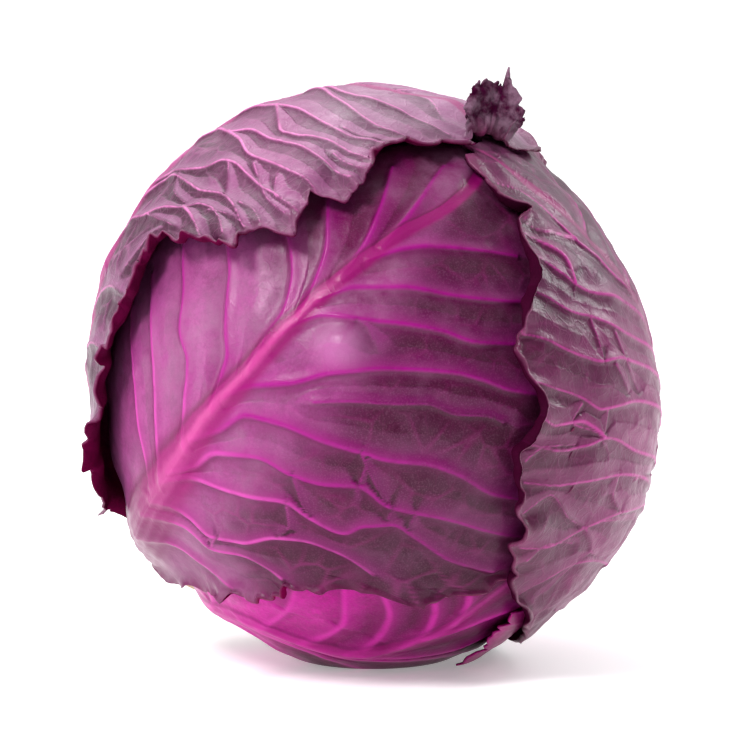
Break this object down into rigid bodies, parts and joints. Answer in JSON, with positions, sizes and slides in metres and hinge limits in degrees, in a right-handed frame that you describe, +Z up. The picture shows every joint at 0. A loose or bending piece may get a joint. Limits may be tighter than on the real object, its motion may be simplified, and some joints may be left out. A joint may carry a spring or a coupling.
{
  "type": "red cabbage head",
  "caption": "Round red cabbage head with ribbed, ragged-edged outer leaves wrapped over a closed heart, a curled leaf tip at the crown and a cut stalk, resting on its side.",
  "frame": {"origin": "centre of the flat spot of the bottom leaf that the head rests on, at floor level", "axes": "+Z up from the resting face; the cut stalk points down and back to -X, the crown up and forward to +X; the front seen in the picture faces -Y"},
  "size_m": [0.1594, 0.152, 0.1664],
  "materials": {
    "leaf_front": "waxy fresh leaf, lilac over purple",
    "leaf_top": "waxy fresh leaf, mauve with grey bloom",
    "leaf_right": "waxy fresh leaf, plum",
    "leaf_bottom": "waxy fresh leaf, bright magenta",
    "leaf_back": "waxy fresh leaf, lilac over purple",
    "inner_leaf": "waxy fresh leaf, dark maroon",
    "stalk": "pale cut stalk, drying at the cut"
  },
  "bodies": {
    "root": {"leaf_front": "leaf_front", "leaf_top": "leaf_top", "leaf_right": "leaf_right", "leaf_bottom": "leaf_bottom", "leaf_back": "leaf_back", "torn_scrap": "inner_leaf", "heart": "inner_leaf", "stalk": "stalk"}
  },
  "joints": []
}
